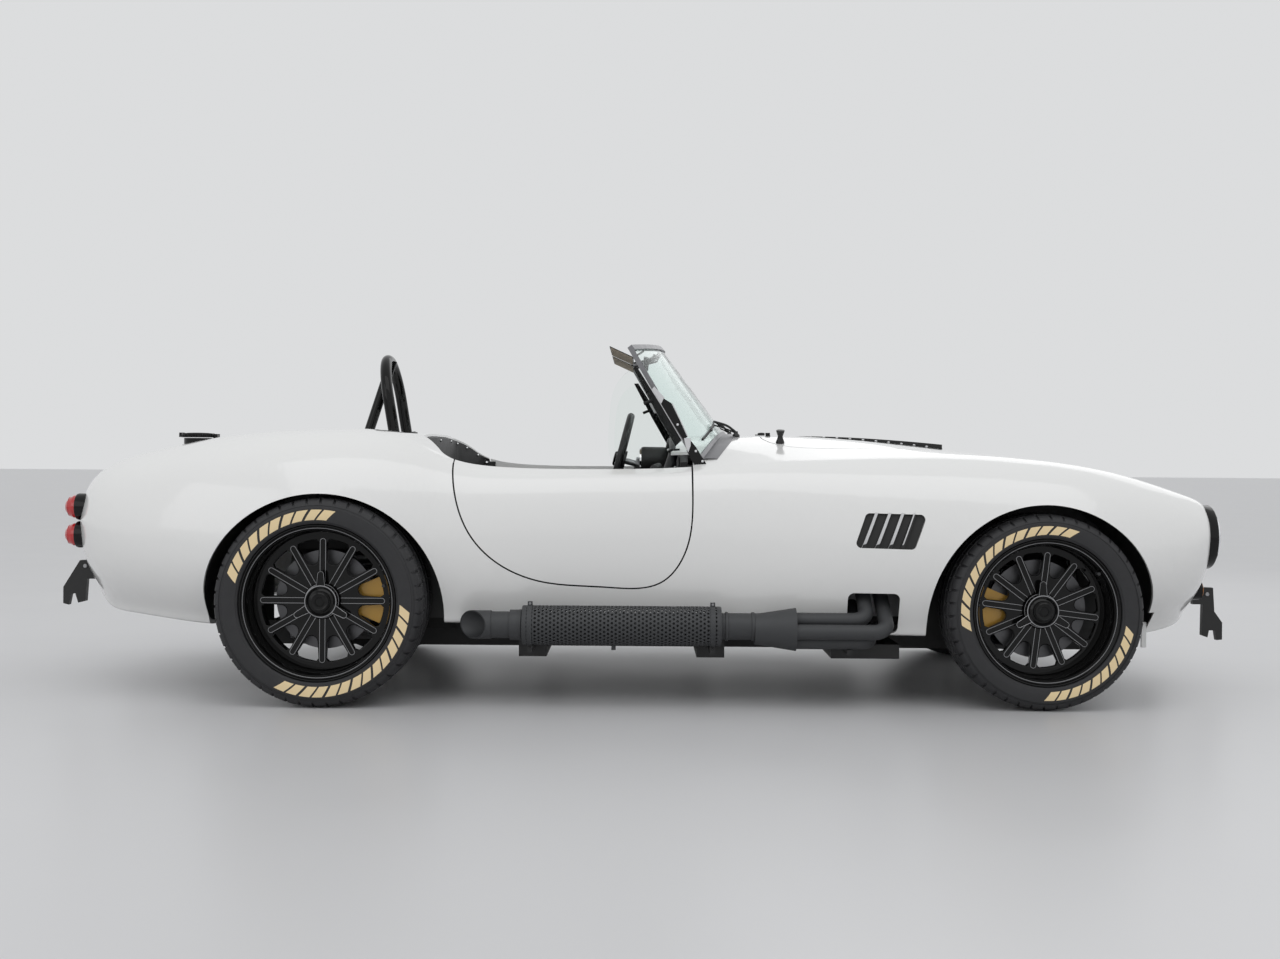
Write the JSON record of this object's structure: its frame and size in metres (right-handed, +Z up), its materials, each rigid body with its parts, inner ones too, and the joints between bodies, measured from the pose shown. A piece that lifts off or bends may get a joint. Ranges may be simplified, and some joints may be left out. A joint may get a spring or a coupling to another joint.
{
  "type": "roadster convertible",
  "caption": "Open two-seat sports car with rounded fenders, side exhaust pipes, roll hoop, low windscreen, doors, bonnet and boot lid that open, and wheels that roll and steer",
  "frame": {"origin": "floor point below the middle of the overall length and width", "axes": "+X forward, +Y to the left side of the car, +Z up"},
  "size_m": [3.962, 1.72, 1.184],
  "materials": {
    "caliper": "gold paint",
    "carpet": "black carpet",
    "dash": "black vinyl",
    "disc": "machined iron",
    "engine": "cast aluminium",
    "exhaust": "satin dark grey ceramic coating",
    "frame": "dark satin metal",
    "glass": "clear laminated glass",
    "gloss_black": "gloss black paint",
    "lamp": "clear lens",
    "leather": "black leather",
    "mesh": "black mesh",
    "paint": "gloss white paint",
    "satin_black": "satin black",
    "steel": "black chassis paint",
    "steering_rim": "black leather rim",
    "suspension": "plated steel",
    "tail_lens": "red lens with black bezel",
    "tyre": "rubber with cream side marks"
  },
  "bodies": {
    "root": {"body_shell": "paint", "calipers_rear": "caliper", "chassis_frame": "steel", "cockpit_tub": "carpet", "dashboard": "dash", "differential": "engine", "engine_block": "engine", "front_indicators": "gloss_black", "front_suspension": "suspension", "fuel_neck": "gloss_black", "gear_lever": "suspension", "grille": "mesh", "half_shafts": "suspension", "headlamp_lenses": "lamp", "headlamps": "gloss_black", "heat_shields": "exhaust", "jack_hooks": "satin_black", "rear_carriers": "suspension", "rear_suspension": "suspension", "roll_hoop": "gloss_black", "seats": "leather", "side_pipes": "exhaust", "side_vents": "satin_black", "steering_column": "suspension", "steering_rack": "suspension", "tail_lamps": "tail_lens", "wheel_housings": "satin_black", "windscreen_frame": "frame", "windscreen_glass": "glass"},
    "door_left": {"door_left": "paint"},
    "door_right": {"door_right": "paint"},
    "bonnet": {"bonnet": "paint", "bonnet_scoop": "satin_black"},
    "boot_lid": {"boot_lid": "paint"},
    "fuel_cap": {"fuel_cap": "gloss_black"},
    "steering_wheel": {"steering_wheel": "steering_rim"},
    "steer_left": {"knuckle_left": "suspension", "caliper_front_left": "caliper"},
    "steer_right": {"knuckle_right": "suspension", "caliper_front_right": "caliper"},
    "front_left_wheel": {"wheel_front_left": "gloss_black", "tyre_front_left": "tyre", "disc_front_left": "disc"},
    "front_right_wheel": {"wheel_front_right": "gloss_black", "tyre_front_right": "tyre", "disc_front_right": "disc"},
    "rear_left_wheel": {"wheel_rear_left": "gloss_black", "tyre_rear_left": "tyre", "disc_rear_left": "disc"},
    "rear_right_wheel": {"wheel_rear_right": "gloss_black", "tyre_rear_right": "tyre", "disc_rear_right": "disc"}
  },
  "joints": [
    {"name": "door_left_hinge", "type": "hinge", "parent": "root", "child": "door_left", "pos_m": [0.213, 0.69407, 0.56], "axis": [0, 0, -1], "range_deg": [0, 65]},
    {"name": "door_right_hinge", "type": "hinge", "parent": "root", "child": "door_right", "pos_m": [0.213, -0.69407, 0.56], "axis": [0, 0, 1], "range_deg": [0, 65]},
    {"name": "bonnet_hinge", "type": "hinge", "parent": "root", "child": "bonnet", "pos_m": [1.61102, 0, 0.6598], "axis": [0, 1, 0], "range_deg": [0, 55]},
    {"name": "boot_hinge", "type": "hinge", "parent": "root", "child": "boot_lid", "pos_m": [-1.12821, 0, 0.82609], "axis": [0, 1, 0], "range_deg": [0, 60]},
    {"name": "fuel_cap_hinge", "type": "hinge", "parent": "root", "child": "fuel_cap", "pos_m": [-1.438, -0.45, 0.84958], "axis": [0, 1, 0], "range_deg": [0, 100]},
    {"name": "steering_turn", "type": "hinge", "parent": "root", "child": "steering_wheel", "pos_m": [-0.092, 0.35, 0.778], "axis": [-0.9703, 0, 0.2419], "range_deg": [-450, 450]},
    {"name": "steer_left_pivot", "type": "hinge", "parent": "root", "child": "steer_left", "pos_m": [1.268, 0.6, 0.31], "axis": [0, 0, 1], "range_deg": [-30, 30]},
    {"name": "steer_right_pivot", "type": "hinge", "parent": "root", "child": "steer_right", "pos_m": [1.268, -0.6, 0.31], "axis": [0, 0, 1], "range_deg": [-30, 30]},
    {"name": "front_left_spin", "type": "hinge", "parent": "steer_left", "child": "front_left_wheel", "pos_m": [1.268, 0.6975, 0.31], "axis": [0, 1, 0], "continuous": true},
    {"name": "front_right_spin", "type": "hinge", "parent": "steer_right", "child": "front_right_wheel", "pos_m": [1.268, -0.6975, 0.31], "axis": [0, 1, 0], "continuous": true},
    {"name": "rear_left_spin", "type": "hinge", "parent": "root", "child": "rear_left_wheel", "pos_m": [-1.018, 0.7125, 0.328], "axis": [0, 1, 0], "continuous": true},
    {"name": "rear_right_spin", "type": "hinge", "parent": "root", "child": "rear_right_wheel", "pos_m": [-1.018, -0.7125, 0.328], "axis": [0, 1, 0], "continuous": true}
  ],
  "couplings": [
    {"joint": "steer_left_pivot", "follows": "steering_turn", "ratio": 0.066667},
    {"joint": "steer_right_pivot", "follows": "steering_turn", "ratio": 0.066667}
  ]
}
